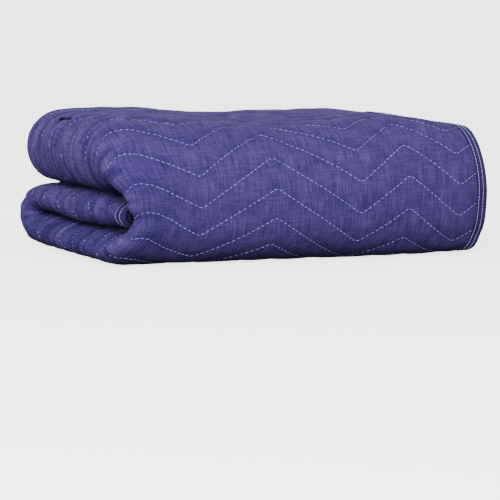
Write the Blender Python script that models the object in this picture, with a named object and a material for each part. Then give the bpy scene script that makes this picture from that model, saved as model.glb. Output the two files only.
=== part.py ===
"""A moving blanket folded into a pile: one quilted sheet, its four bound edges, and nothing else.

The sheet is folded four times, as a person folds it: its length in half, its width in half, its
length in half again, and the eight layers that this gives in thirds, with one end tucked inside.
Each fold is one function of a point's place, so every layer of the pile is the same closed sheet.
Metres, +Z up. X runs along the quilting rows, and the last fold faces -Y. Closed edges lie at -X.
"""

import math

import bpy
import numpy as np

# The flat blanket.
LENGTH = 2.03  # along the rows, and so along X
WIDTH = 1.83  # across the rows
LOFT = 0.0071  # thickness of the quilt between its rows
LAYER_GAP = 0.0010  # between two layers that lie on each other

# Binding: a tape folded over each edge, where the quilt is sewn flat.
TAPE_WIDTH = 0.022
TAPE_THICKNESS = 0.0009
TAPE_CLEARANCE = 0.0004
PRESSED_LOFT = 0.0038  # thickness of the quilt inside the tape
PRESSED_END = 0.031  # how far in from the edge the quilt has its whole loft
TAPE_GAP = 0.0004  # between two tapes that meet at a corner

# Quilting rows: their spacing over the outside, and how far each is drawn in.
ROW_SPACING = 0.037
ROW_STEPS = 3  # mesh rows from one quilting row to the next
GROOVE = 0.0015
CROWN = 0.0002  # how far the mesh rows between two quilting rows are drawn in
ROW_LEVEL = 0.0771  # height on the front of a row's low corner, at 0.417 from the edge

# Corners of a row: how far in from the open edge, and how high above ROW_LEVEL.
ROW_CORNERS = (
    (0.000, 0.0029),
    (0.052, -0.0275),
    (0.127, 0.0215),
    (0.197, -0.0194),
    (0.315, 0.0575),
    (0.417, 0.0000),
    (0.500, 0.0395),
    (0.590, -0.0140),
    (0.690, 0.0460),
)

# Half the thickness of two, four and eight layers, and the radius of each fold's middle.
HALF_SHEET = LOFT / 2
FIRST_RADIUS = HALF_SHEET + LAYER_GAP / 2
HALF_PAIR = FIRST_RADIUS + HALF_SHEET
SECOND_RADIUS = HALF_PAIR + LAYER_GAP / 2
HALF_FOUR = SECOND_RADIUS + HALF_PAIR
THIRD_RADIUS = HALF_FOUR + LAYER_GAP / 2
HALF_EIGHT = THIRD_RADIUS + HALF_FOUR

FIRST_RUN = (LENGTH - math.pi * FIRST_RADIUS) / 2
SECOND_RUN = (WIDTH - math.pi * SECOND_RADIUS) / 2
THIRD_SHIFT = 0.013  # how far the third fold lies past the middle, so that its inner edge is hidden
THIRD_RUN = (FIRST_RUN - math.pi * THIRD_RADIUS) / 2 + THIRD_SHIFT
TOP_SWELL = 0.0135  # how much wider the loose fold of the top layers is
SWELL_REACH = 0.26  # how far that opens the layers, from the fold
SWELL_LEFT = 0.12  # the share of it that is left at the open edges

# The last fold, in thirds. The lower layers are pressed by those above.
PRESS = 0.73
DEPTH = 0.335
HALF_LOW = PRESS * HALF_EIGHT
BACK_RADIUS = HALF_LOW + 0.0008
LOW_FRONT_RADIUS = 0.036
HIGH_FRONT_RADIUS = 0.055
FRONT_HALF = 0.027  # half the thickness where the front is upright
TUCK_START = 0.066  # where the tucked end starts, behind the front
LIMB_GAP = 0.0020
LOW_LEVEL = HALF_LOW
TUCK_LEVEL = LOW_LEVEL + 2 * BACK_RADIUS
TOP_LEVEL = TUCK_LEVEL + HALF_LOW + LIMB_GAP + HALF_EIGHT
BACK_CENTRE = DEPTH - HALF_LOW - BACK_RADIUS
FRONT_RISE = TOP_LEVEL - LOW_LEVEL - LOW_FRONT_RADIUS - HIGH_FRONT_RADIUS
QUARTER = math.pi / 2

# Name, length of the middle line, and turn of each stretch of the last fold.
STRETCHES = (
    ("tucked", BACK_CENTRE - TUCK_START, 0),
    ("back", math.pi * BACK_RADIUS, math.pi),
    ("under", BACK_CENTRE - FRONT_HALF - LOW_FRONT_RADIUS, 0),
    ("low front", QUARTER * LOW_FRONT_RADIUS, QUARTER),
    ("front", FRONT_RISE, 0),
    ("high front", QUARTER * HIGH_FRONT_RADIUS, QUARTER),
    ("top", SECOND_RUN, 0),
)


def start_of(name):
    """How far along the last fold a stretch starts."""
    reached = 0.0
    for stretch, length, _ in STRETCHES:
        if stretch == name:
            return reached
        reached += length
    raise KeyError(name)


def ease(t):
    """0 below 0, 1 above 1, and smooth between."""
    t = np.clip(t, 0, 1)
    return t * t * (3 - 2 * t)


def along_table(rows, s):
    """A value that passes smoothly from row to row of a table of places and values."""
    value = np.full(np.shape(s), rows[0][1], float)
    for (place, here), (next_place, there) in zip(rows, rows[1:]):
        value = value + (there - here) * ease((s - place) / (next_place - place))
    return value


FRONT_MIDDLE = start_of("front") + FRONT_RISE / 2
TOP_START = start_of("top")

# How far the folded edge lies in from the line of the others, along the last fold.
EDGE_IN = (
    (0.0, 0.024),
    (0.10, 0.008),
    (start_of("back"), 0.000),
    (start_of("under"), -0.003),
    (start_of("low front") - 0.03, -0.002),
    (start_of("low front") + 0.02, -0.002),
    (FRONT_MIDDLE, 0.024),
    (FRONT_MIDDLE + 0.022, 0.017),
    (TOP_START - 0.035, -0.004),
    (TOP_START + 0.12, -0.006),
    (SECOND_RUN, 0.004),
)
EDGE_REACH = 0.13  # how far in from the folded edge that fades out

# How much of its thickness the folded edge keeps, along the last fold.
EDGE_KEEPS = (
    (0.0, 1.04),
    (0.10, 1.12),
    (start_of("back") - 0.03, 0.94),
    (start_of("under") + 0.02, 0.98),
    (start_of("low front") - 0.08, 0.79),
    (start_of("low front"), 0.78),
    (FRONT_MIDDLE - 0.025, 0.58),
    (FRONT_MIDDLE + 0.020, 0.56),
    (FRONT_MIDDLE + 0.050, 0.62),
    (TOP_START, 1.0),
)
PINCH_REACH = 0.06
TUCK_TAPER = 0.15  # how much of the tucked end's thickness is pressed away, from above
TAPER_REACH = 0.09
TUCK_REACH = 0.019  # how much nearer the front the tucked end lies at its folded edge
TUCK_FADE = 0.15  # how far along the last fold that goes
OPEN_TAPER = 0.10  # how much thinner the layers lie at the open edges
OPEN_REACH = 0.12
PRESS_FADE = 0.02  # past the start of the low front, where the layers begin to swell

# How the pile has settled. Places across it run from 0 at the folded edges to 1 at the open edges.
RISE = 0.060  # how much looser, and so higher, the layers lie towards the open edges
RISE_RATE = 1.2
DIP = 0.0059  # a broad wave of the top
DIP_WAVES = 1.1625
DIP_START = -0.0675
CROSS_WAVE = 0.0018  # a smaller one, aslant
FOLD_DROP = 0.019  # how much lower the top lies at the folded edges
FOLD_DROP_REACH = 0.35
SHOULDER_DROP = 0.0043  # and past the middle
SHOULDER_FROM, SHOULDER_TO = 0.55, 0.75
LOFTY = 0.12  # the height from which the top's waves are whole
FRONT_WAVE = 0.0025  # a wave of the front
FRONT_LOFTY = 0.03
CURL_FROM = 0.89  # where the bound edges begin to draw back and down
CURL_BACK = 0.020
CURL_DOWN = 0.005
CURL_DEPTH = 0.12
CURL_UNDER = 0.010  # how far the lowest bound edges draw in under the pile
UNDER_HEIGHT = 0.035


def fold(s, n, run, radius, swell=0.0):
    """Folds a strip back on itself after a run. s is along it, and n above its middle, away from the
    fold's inside. A swell widens the bend, and lifts the first run off the second near it."""
    bend = radius + swell
    turn = np.clip((s - run) / bend, 0, math.pi)
    past = np.maximum(s - run - math.pi * bend, 0)
    opened = SWELL_LEFT + (1 - SWELL_LEFT) * ease(1 - (run - s) / SWELL_REACH)
    along = np.minimum(s, run) + (bend + n) * np.sin(turn) - past
    off = (bend + n) * np.cos(turn) + swell * (2 * np.where(s < run, opened, 1) - 1)
    return along, off


def wind(s, n):
    """Lays a strip along the last fold: (y, z) of a point s along it and n outside its middle."""
    y, z, heading = TUCK_START, TUCK_LEVEL, 0.0
    place_y, place_z, reached = np.zeros(np.shape(s)), np.zeros(np.shape(s)), 0.0
    for index, (_, length, turn) in enumerate(STRETCHES):
        last = index == len(STRETCHES) - 1
        here = (s >= reached if index else np.ones(np.shape(s), bool)) & (last | (s < reached + length))
        local = s - reached
        if turn:
            radius = length / turn
            centre_y, centre_z = y + radius * math.sin(heading), z - radius * math.cos(heading)
            facing = heading - local / radius
            place_y = np.where(here, centre_y - (radius + n) * np.sin(facing), place_y)
            place_z = np.where(here, centre_z + (radius + n) * np.cos(facing), place_z)
            heading -= turn
            y, z = centre_y - radius * math.sin(heading), centre_z + radius * math.cos(heading)
        else:
            place_y = np.where(here, y + local * math.cos(heading) - n * math.sin(heading), place_y)
            place_z = np.where(here, z + local * math.sin(heading) + n * math.cos(heading), place_z)
            y, z = y + length * math.cos(heading), z + length * math.sin(heading)
        reached += length
    return place_y, place_z


def turned(s):
    """How far the last fold has turned at s, in radians."""
    total, reached = 0.0, 0.0
    for _, length, turn in STRETCHES:
        total = total + turn * np.clip((s - reached) / length, 0, 1)
        reached += length
    return total


WIDE = THIRD_RUN + HALF_EIGHT  # from the open edges to the folded edge


def shape(x, s, n):
    """Shapes the eight layers before the last fold: (x, s, n), with x in from the open edges."""
    loosens = start_of("low front") + PRESS_FADE
    n = n * (PRESS + (1 - PRESS) * ease((s - loosens) / (TOP_START - loosens)))
    n = n - TUCK_TAPER * (n + HALF_LOW) * ease(1 - s / TAPER_REACH)
    n = n * (1 - OPEN_TAPER * ease(1 - x / OPEN_REACH))
    near_edge = ease(1 - (WIDE - x) / PINCH_REACH)
    keeps = 1 - (1 - along_table(EDGE_KEEPS, s)) * near_edge
    rises = ease((s - start_of("low front")) / (FRONT_MIDDLE - start_of("low front")))
    outside = HALF_LOW + (FRONT_HALF - HALF_LOW) * rises
    n = outside - (outside - n) * keeps
    x = x - along_table(EDGE_IN, s) * ease(1 - (WIDE - x) / EDGE_REACH)
    s = s - TUCK_REACH * near_edge * ease(1 - s / TUCK_FADE)
    return x, s, n


def settle(x, y, z):
    """The pile's own weight and handling: broad dips and swells, none where it touches the floor."""
    across = (x + WIDE / 2) / WIDE
    lift, front_lift = ease(z / LOFTY), ease(z / FRONT_LOFTY)
    z = z * (1 + RISE * ease(RISE_RATE * across))
    z = z + lift * DIP * np.cos(2 * math.pi * (across - DIP_START) * DIP_WAVES)
    z = z + lift * CROSS_WAVE * np.sin(9 * across + 14 * y)
    z = z - lift * FOLD_DROP * (1 - ease(across / FOLD_DROP_REACH))
    z = z - lift * SHOULDER_DROP * ease((across - SHOULDER_FROM) / (SHOULDER_TO - SHOULDER_FROM))
    y = y + front_lift * FRONT_WAVE * np.sin(2 * math.pi * across * 1.3 + 0.6)
    curl = np.maximum((across - CURL_FROM) / (1 - CURL_FROM), 0) ** 2
    y = y + front_lift * CURL_BACK * curl * ease(1 - y / CURL_DEPTH)
    x = x - CURL_UNDER * curl * ease(1 - z / UNDER_HEIGHT)
    z = z - CURL_DOWN * curl * lift * ease(1 - y / CURL_DEPTH)
    return x, y, z


def lay(u, v, n):
    """The place in the pile of a point of the flat blanket: u along its length, v across it, and n
    above its middle. All three are arrays."""
    a, n = fold(u, n, FIRST_RUN, FIRST_RADIUS)
    b, n = fold(v, n, SECOND_RUN, SECOND_RADIUS)
    x, n = fold(a, n, third_run(b), THIRD_RADIUS, swell_at(b))
    x, b, n = shape(x, b, n)
    y, z = wind(b, n)
    x, y, z = settle(WIDE / 2 - x, y, z)
    return np.stack([x, y - DEPTH / 2, z], axis=-1)


def third_run(s):
    """How far in from the open edges the third fold starts, at s along the last one."""
    return THIRD_RUN - swell_at(s)


def swell_at(s):
    """How much the third fold is widened, at s along the last one: only on the top."""
    return TOP_SWELL * ease((s - FRONT_MIDDLE) / (TOP_START + 0.03 - FRONT_MIDDLE))


def outer_run(s):
    """How far along the pile's outside a place s along its middle is."""
    return s + HALF_LOW * turned(s)


def row_height(u):
    """How far a quilting row lies above its level, at u in from the open edge."""
    places, heights = zip(*ROW_CORNERS)
    return np.interp(u, places, heights)


def halves(loft_in):
    """Half the thickness of the quilt, at this distance in from its nearest edge."""
    return np.where(loft_in < PRESSED_END - 1e-6, PRESSED_LOFT / 2, HALF_SHEET)


# Stations: distances in from the open edge, on the outer half and again on the inner half.
EDGE_STATIONS = (0.0, TAPE_WIDTH + 0.0012, PRESSED_END)
OUTER_STATIONS = (0.125, 0.235, 0.340, 0.425)
INNER_STATIONS = (0.425, 0.340, 0.235, 0.125)
THIRD_STEPS = 6
FIRST_STEPS = 4
SECOND_STEPS = 5

# Steps of each stretch of the last fold.
STRETCH_STEPS = {"tucked": 2, "back": 7, "under": 2, "low front": 3, "front": 1, "high front": 4, "top": 2}


def length_stations(b):
    """Places along the length for the mesh, at b along the last fold. They crowd at each bend."""
    run, bend = third_run(b), math.pi * (THIRD_RADIUS + swell_at(b))
    turn = [run + bend * step / THIRD_STEPS for step in range(THIRD_STEPS + 1)]
    inner = [2 * run + bend - x for x in INNER_STATIONS]
    half = [*EDGE_STATIONS, *OUTER_STATIONS, *turn, *inner, FIRST_RUN]
    return np.array(half + around(FIRST_RUN, FIRST_RADIUS, FIRST_STEPS) + [LENGTH - u for u in reversed(half)])


def around(run, radius, steps):
    """Places inside a bend, between its ends."""
    return [run + math.pi * radius * step / steps for step in range(1, steps)]


def width_half():
    """Places across the width for the mesh, from the tucked edge to the second fold."""
    places = list(EDGE_STATIONS)
    for name, length, _ in STRETCHES:
        first = places[-1] if name == "tucked" else start_of(name)
        last = SECOND_RUN if name == "top" else start_of(name) + length
        steps = STRETCH_STEPS[name]
        places += [first + (last - first) * step / steps for step in range(1, steps + 1)]
    return places


WIDTH_HALF = width_half()
WIDTH_STATIONS = np.array(
    WIDTH_HALF + around(SECOND_RUN, SECOND_RADIUS, SECOND_STEPS) + [WIDTH - v for v in reversed(WIDTH_HALF)]
)
LAST_ROW = len(WIDTH_HALF) - 1


def from_width(v):
    """How far along the last fold a place across the width lies."""
    return np.minimum(v, WIDTH - v)


def sheet_grid():
    """The mesh stations of one face: u and v arrays, each (along the length, across the width)."""
    columns = [length_stations(min(b, SECOND_RUN)) for b in from_width(WIDTH_STATIONS)]
    u = np.array(columns).T
    return u, np.broadcast_to(WIDTH_STATIONS, u.shape)


# The raised face: the outer face of the outermost layer, where quilting rows show.
RAISED_STATIONS = (
    0.039, 0.052, 0.089, 0.127, 0.162, 0.197, 0.227, 0.256, 0.286, 0.315, 0.349, 0.383, 0.417, 0.452
)
RAISED_TURN_STEPS = 6
RAISED_PAST = 0.012  # how far past the folded edge it goes
RAISED_INSET = 0.012  # from the last mesh row of the plain grid round it
ROW_FADE = 0.10  # over which rows straighten towards the ends of the raised face
FIRST_RAISED_ROW = 2  # of the plain grid
LAST_RAISED_COLUMN = len(EDGE_STATIONS) + len(OUTER_STATIONS) + THIRD_STEPS + 1
FRONT_LEVEL = LOW_LEVEL + LOW_FRONT_RADIUS + FRONT_RISE / 2

RUN_TABLE = np.linspace(0, SECOND_RUN, 600)
OUTER_TABLE = outer_run(RUN_TABLE)


def raised_rows():
    """The mesh rows of the raised face: each one's place along the outside, how far it follows the
    zigzag, and how far it is drawn in."""
    first = outer_run(EDGE_STATIONS[-1] + RAISED_INSET)
    last = outer_run(SECOND_RUN - RAISED_INSET)
    level = outer_run(FRONT_MIDDLE) + ROW_LEVEL - FRONT_LEVEL
    step = ROW_SPACING / ROW_STEPS
    numbers = np.arange(math.ceil((first - level) / step), math.floor((last - level) / step) + 1)
    places = level + numbers * step
    follows = np.clip(np.minimum(places - places[0], places[-1] - places) / ROW_FADE, 0, 1)
    depths = np.where(numbers % ROW_STEPS == 0, GROOVE, CROWN)
    return places, follows, depths


def raised_grid():
    """Mesh points of the raised face: u, v and how far each is drawn in, all (column, row)."""
    places, follows, depths = raised_rows()
    u_rows, v_rows, depth_rows = [], [], []
    for place, follow, depth in zip(places, follows, depths):
        middle = np.interp(place, OUTER_TABLE, RUN_TABLE)
        run, bend = third_run(middle), math.pi * (THIRD_RADIUS + swell_at(middle))
        turn = [run + bend * step / RAISED_TURN_STEPS for step in range(RAISED_TURN_STEPS + 1)]
        u = np.array([*RAISED_STATIONS, *turn, run + bend + RAISED_PAST])
        v = np.interp(place + follow * row_height(u), OUTER_TABLE, RUN_TABLE)
        u_rows.append(u)
        v_rows.append(v)
        depth_rows.append(depth * min(1, 4 * follow) * not_on_floor(u, v))
    return np.array(u_rows).T, np.array(v_rows).T, np.array(depth_rows).T


def not_on_floor(u, v):
    """0 where the outer face lies flat on the floor, and 1 elsewhere."""
    start, end = start_of("under"), start_of("low front")
    flat = ease((v - start) / 0.01 + 1) * ease((end - v) / 0.01 + 1)
    return 1 - flat * ease((THIRD_RUN - u) / 0.03)


def zip_lines(first, second):
    """Triangles between two lines of mesh points, each a list of (place, index) in rising order."""
    i, j, faces = 0, 0, []
    while i < len(first) - 1 or j < len(second) - 1:
        take_first = j == len(second) - 1 or (i < len(first) - 1 and first[i + 1][0] <= second[j + 1][0])
        if take_first:
            faces.append((first[i][1], first[i + 1][1], second[j][1]))
            i += 1
        else:
            faces.append((first[i][1], second[j + 1][1], second[j][1]))
            j += 1
    return faces


def border(u, v, index, side):
    """One side of a block of mesh points as (place, index) pairs, in the order of a turn round it."""
    picks = {"low": np.s_[:, 0], "right": np.s_[-1, :], "high": np.s_[::-1, -1], "left": np.s_[0, ::-1]}
    pick = picks[side]
    places = {"low": u, "right": v, "high": -u, "left": -v}[side][pick]
    return list(zip(places, index[pick]))


def raised_triangles(index, u, v):
    """The triangles of the raised face. Each cell is split across its shorter diagonal."""
    faces = []
    for i, j in np.ndindex(index.shape[0] - 1, index.shape[1] - 1):
        a, b, c, d = index[i, j], index[i + 1, j], index[i + 1, j + 1], index[i, j + 1]
        width = u[i + 1, j] - u[i, j]
        rising = math.hypot(width, v[i + 1, j + 1] - v[i, j])
        falling = math.hypot(width, v[i + 1, j] - v[i, j + 1])
        faces += [(a, b, c), (a, c, d)] if rising < falling else [(a, b, d), (b, c, d)]
    return faces


def sheet_triangles(index, hole):
    """The triangles of one face of the sheet. Cells that lie on each other in the pile are split the
    same way, so that no layer cuts the next. A hole leaves out the cells from its first corner to
    its last."""
    columns, rows = index.shape[0] - 1, index.shape[1] - 1
    faces = []
    for i in range(columns):
        for j in range(rows):
            if hole and hole[0] <= i < hole[2] and hole[1] <= j < hole[3]:
                continue
            a, b, c, d = index[i, j], index[i + 1, j], index[i + 1, j + 1], index[i, j + 1]
            far = (turns_back(i, columns) + (2 * j >= rows)) % 2
            faces += [(a, b, c), (a, c, d)] if far else [(a, b, d), (b, c, d)]
    return faces


def turns_back(column, columns):
    """How many times the length has turned back on itself before this column of cells."""
    half = min(column, columns - 1 - column)
    return int(2 * column >= columns) + int(half >= LAST_RAISED_COLUMN - 1 - THIRD_STEPS // 2)


def quilt_mesh():
    """The whole quilted sheet, folded: its points and faces."""
    u, v = sheet_grid()
    half = halves(np.minimum(np.minimum(u, LENGTH - u), np.minimum(v, WIDTH - v)))
    raised_u, raised_v, depth = raised_grid()
    points = [lay(u, v, half), lay(u, v, -half), lay(raised_u, raised_v, HALF_SHEET - depth)]
    over = np.arange(u.size).reshape(u.shape)
    under = over + u.size
    raised = np.arange(raised_u.size).reshape(raised_u.shape) + 2 * u.size

    left, right, low, high = 2, LAST_RAISED_COLUMN, FIRST_RAISED_ROW, LAST_ROW
    block = np.s_[left : right + 1, low : high + 1]
    faces = sheet_triangles(over, (left, low, right, high)) + raised_triangles(raised, raised_u, raised_v)
    for side in ("low", "right", "high", "left"):
        outside = border(u[block], v[block], over[block], side)
        faces += zip_lines(outside, border(raised_u, raised_v, raised, side))
    faces += [face[::-1] for face in sheet_triangles(under, None)]
    faces += walls(over, under)
    return np.concatenate([p.reshape(-1, 3) for p in points]), faces


def walls(over, under):
    """Faces round the edge of the sheet, between its two faces."""
    faces = []
    for pick in (np.s_[:, 0], np.s_[-1, :], np.s_[::-1, -1], np.s_[0, ::-1]):
        top, bottom = over[pick], under[pick]
        faces += list(zip(bottom[:-1], bottom[1:], top[1:], top[:-1]))
    return faces


def tape_section():
    """The cross-section of a folded tape: (in from the edge, above the middle of the quilt)."""
    inside = PRESSED_LOFT / 2 + TAPE_CLEARANCE
    outside = inside + TAPE_THICKNESS
    near, far = -TAPE_CLEARANCE, -TAPE_CLEARANCE - TAPE_THICKNESS
    upper = [(TAPE_WIDTH, inside), (near, inside)]
    lower = [(near, -inside), (TAPE_WIDTH, -inside), (TAPE_WIDTH, -outside)]
    return np.array(upper + lower + [(far, -outside), (far, outside), (TAPE_WIDTH, outside)])


# Which way each side of a tape's cells is split, so that its layers and the quilt's stay apart.
SPLITS = (True, True, False, True, True, False, False, False)


def tape_mesh(place, stations, turns):
    """A tape along one edge. place turns (in, along) arrays to (u, v), and turns holds how many times
    the edge has turned back on itself before each cell along it."""
    section = tape_section()
    count, size = len(stations), len(section)
    inwards = np.broadcast_to(section[:, 0], (count, size))
    above = np.broadcast_to(section[:, 1], (count, size))
    u, v = place(inwards, np.broadcast_to(np.array(stations)[:, None], (count, size)))
    points = lay(u, v, above).reshape(-1, 3)
    index = np.arange(count * size).reshape(count, size)
    faces = caps(index[0]) + [face[::-1] for face in caps(index[-1])]
    for k, turned_back in enumerate(turns):
        for side, same in enumerate(SPLITS):
            a, b = index[k, side], index[k + 1, side]
            d, c = index[k, (side + 1) % size], index[k + 1, (side + 1) % size]
            faces += [(a, b, c), (a, c, d)] if same ^ bool(turned_back % 2) else [(a, b, d), (b, c, d)]
    return points, faces


def caps(ring):
    """The four faces that close one end of a tape."""
    return [tuple(ring[[a, b, c, d]]) for a, b, c, d in ((7, 0, 1, 6), (6, 1, 2, 5), (5, 2, 3, 4))]


def add_solid(name, points, faces, color):
    """Adds a closed mesh to the scene, its faces turned outwards."""
    mesh = bpy.data.meshes.new(name)
    mesh.from_pydata(points.tolist(), [], [tuple(int(i) for i in face) for face in faces])
    mesh.update()
    if enclosed(mesh) < 0:
        mesh.flip_normals()
    material = bpy.data.materials.get(color) or bpy.data.materials.new(color)
    material.diffuse_color = COLORS[color]
    mesh.materials.append(material)
    solid = bpy.data.objects.new(name, mesh)
    bpy.context.scene.collection.objects.link(solid)


def enclosed(mesh):
    """The volume inside a mesh, negative if its faces point inwards."""
    mesh.calc_loop_triangles()
    total = 0.0
    for triangle in mesh.loop_triangles:
        a, b, c = (mesh.vertices[i].co for i in triangle.vertices)
        total += a.dot(b.cross(c)) / 6
    return total


COLORS = {"woven cloth": (0.10, 0.09, 0.30, 1), "binding tape": (0.04, 0.04, 0.10, 1)}


def main():
    for leftover in list(bpy.data.objects):
        bpy.data.objects.remove(leftover)
    solids = [("quilt", *quilt_mesh(), "woven cloth")]

    past = TAPE_CLEARANCE + TAPE_THICKNESS
    full = [-past, *WIDTH_STATIONS[1:-1], WIDTH + past]
    short = TAPE_WIDTH + TAPE_GAP
    inner = [u for u in length_stations(0.0) if TAPE_WIDTH + 0.005 < u < LENGTH - TAPE_WIDTH - 0.005]
    between = [short, *inner, LENGTH - short]
    rows, columns = len(full) - 1, len(between) + 1
    full_turns = [int(2 * k >= rows) for k in range(rows)]
    between_turns = [turns_back(k + 1, columns) for k in range(len(between) - 1)]
    tapes = (
        ("binding_length_outer", lambda d, a: (d, a), full, full_turns),
        ("binding_length_inner", lambda d, a: (LENGTH - d, a), full, full_turns),
        ("binding_width_outer", lambda d, a: (a, d), between, between_turns),
        ("binding_width_inner", lambda d, a: (a, WIDTH - d), between, between_turns),
    )
    for name, place, stations, turns in tapes:
        solids.append((name, *tape_mesh(place, stations, turns), "binding tape"))

    spread = np.concatenate([points for _, points, _, _ in solids])
    low, high = spread.min(axis=0), spread.max(axis=0)
    foot = np.array([(low[0] + high[0]) / 2, (low[1] + high[1]) / 2, low[2]])
    for name, points, faces, color in solids:
        add_solid(name, points - foot, faces, color)


if __name__ == "__main__":
    main()
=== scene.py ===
"""A folded moving blanket: woven cloth, quilting, thread and binding over the CAD frame, and a plain studio.

The cloth is built flat and sent through the pile's folds, so every row of stitching and every thread of
the weave follows the sheet. u runs along its length from the open edge, v across its width from the
tucked edge, and n above its middle. Metres.
"""
import math

import bpy
import numpy as np
from mathutils import Matrix, Vector


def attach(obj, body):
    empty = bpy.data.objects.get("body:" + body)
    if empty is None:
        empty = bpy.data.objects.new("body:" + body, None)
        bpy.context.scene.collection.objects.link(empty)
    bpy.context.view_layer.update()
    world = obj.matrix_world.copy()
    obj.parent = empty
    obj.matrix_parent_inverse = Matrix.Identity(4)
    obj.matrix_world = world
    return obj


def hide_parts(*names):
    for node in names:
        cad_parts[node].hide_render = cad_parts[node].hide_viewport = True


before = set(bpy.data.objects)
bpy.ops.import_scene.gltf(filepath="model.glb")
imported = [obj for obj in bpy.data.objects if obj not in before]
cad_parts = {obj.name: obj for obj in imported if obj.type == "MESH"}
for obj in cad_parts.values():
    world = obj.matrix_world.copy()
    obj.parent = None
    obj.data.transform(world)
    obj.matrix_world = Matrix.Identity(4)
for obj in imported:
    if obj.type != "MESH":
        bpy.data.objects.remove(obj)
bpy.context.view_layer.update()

# The flat blanket.
LENGTH = 2.03
WIDTH = 1.83
LOFT = 0.0071
LAYER_GAP = 0.0010

TAPE_WIDTH = 0.022
TAPE_THICKNESS = 0.0009
TAPE_CLEARANCE = 0.0004
PRESSED_LOFT = 0.0038
PRESSED_END = 0.031

# The zigzag rows. A corner is a place along the sheet, and a height above the row's level.
ROW_SPACING = 0.037
ROW_LEVEL = 0.0771
ROW_ROUNDING = 0.004
ROW_CORNERS = (
    (0.000, 0.0029),
    (0.052, -0.0275),
    (0.127, 0.0215),
    (0.197, -0.0194),
    (0.315, 0.0575),
    (0.417, 0.0000),
    (0.500, 0.0395),
    (0.590, -0.0140),
    (0.690, 0.0460),
    (0.790, -0.0140),
    (0.890, 0.0460),
    (1.020, -0.0300),
)

# Half the thickness of one, two, four and eight layers, and the radius at which they fold.
HALF_SHEET = LOFT / 2
FIRST_RADIUS = HALF_SHEET + LAYER_GAP / 2
HALF_PAIR = FIRST_RADIUS + HALF_SHEET
SECOND_RADIUS = HALF_PAIR + LAYER_GAP / 2
HALF_FOUR = SECOND_RADIUS + HALF_PAIR
THIRD_RADIUS = HALF_FOUR + LAYER_GAP / 2
HALF_EIGHT = THIRD_RADIUS + HALF_FOUR

# How far in from an edge each fold starts.
FIRST_RUN = (LENGTH - math.pi * FIRST_RADIUS) / 2
SECOND_RUN = (WIDTH - math.pi * SECOND_RADIUS) / 2
THIRD_SHIFT = 0.013  # how far past the middle the third fold lies
THIRD_RUN = (FIRST_RUN - math.pi * THIRD_RADIUS) / 2 + THIRD_SHIFT
TOP_SWELL = 0.0135  # how much wider the third fold is on the top
SWELL_PAST = 0.03  # past the start of the top, where it is that wide
SWELL_REACH = 0.26
SWELL_LEFT = 0.12  # the share of the swell that is left past its reach

# The last fold: the top lies over the tucked end, and both over the underside.
PRESS = 0.73  # the share of their thickness that the lower layers keep
DEPTH = 0.335
LIMB_GAP = 0.0020
BACK_SLACK = 0.0008
HALF_LOW = PRESS * HALF_EIGHT
BACK_RADIUS = HALF_LOW + BACK_SLACK
LOW_FRONT_RADIUS = 0.036
HIGH_FRONT_RADIUS = 0.055
FRONT_HALF = 0.027
TUCK_START = 0.066
LOW_LEVEL = HALF_LOW
TUCK_LEVEL = LOW_LEVEL + 2 * BACK_RADIUS
TOP_LEVEL = TUCK_LEVEL + HALF_LOW + LIMB_GAP + HALF_EIGHT
BACK_CENTRE = DEPTH - HALF_LOW - BACK_RADIUS
FRONT_RISE = TOP_LEVEL - LOW_LEVEL - LOW_FRONT_RADIUS - HIGH_FRONT_RADIUS
FRONT_LEVEL = LOW_LEVEL + LOW_FRONT_RADIUS + FRONT_RISE / 2
QUARTER = math.pi / 2
WIDE = THIRD_RUN + HALF_EIGHT
FOOT = np.array([-0.002341, 0.000350, 0.0])  # the middle of the pile's box, before it is centred

# Stretches of the last fold, from the tucked edge: name, length, and turn in radians.
STRETCHES = (
    ("tucked", BACK_CENTRE - TUCK_START, 0),
    ("back", math.pi * BACK_RADIUS, math.pi),
    ("under", BACK_CENTRE - FRONT_HALF - LOW_FRONT_RADIUS, 0),
    ("low front", QUARTER * LOW_FRONT_RADIUS, QUARTER),
    ("front", FRONT_RISE, 0),
    ("high front", QUARTER * HIGH_FRONT_RADIUS, QUARTER),
    ("top", SECOND_RUN, 0),
)


def start_of(name):
    """How far along the last fold a stretch starts."""
    reached = 0.0
    for stretch, length, _ in STRETCHES:
        if stretch == name:
            return reached
        reached += length
    raise KeyError(name)


def ease(t):
    """0 below 0, 1 above 1, and smooth between."""
    t = np.clip(t, 0, 1)
    return t * t * (3 - 2 * t)


def along_table(rows, s):
    """A value that passes smoothly from row to row of a table of places and values."""
    value = np.full(np.shape(s), rows[0][1], float)
    for (place, here), (next_place, there) in zip(rows, rows[1:]):
        value = value + (there - here) * ease((s - place) / (next_place - place))
    return value


FRONT_MIDDLE = start_of("front") + FRONT_RISE / 2
TOP_START = start_of("top")

# Places along the last fold, and how far the folded edge is drawn in there.
EDGE_IN = (
    (0.0, 0.024),
    (0.10, 0.008),
    (start_of("back"), 0.000),
    (start_of("under"), -0.003),
    (start_of("low front") - 0.03, -0.002),
    (start_of("low front") + 0.02, -0.002),
    (FRONT_MIDDLE, 0.024),
    (FRONT_MIDDLE + 0.022, 0.017),
    (TOP_START - 0.035, -0.004),
    (TOP_START + 0.12, -0.006),
    (SECOND_RUN, 0.004),
)
EDGE_REACH = 0.13

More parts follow.
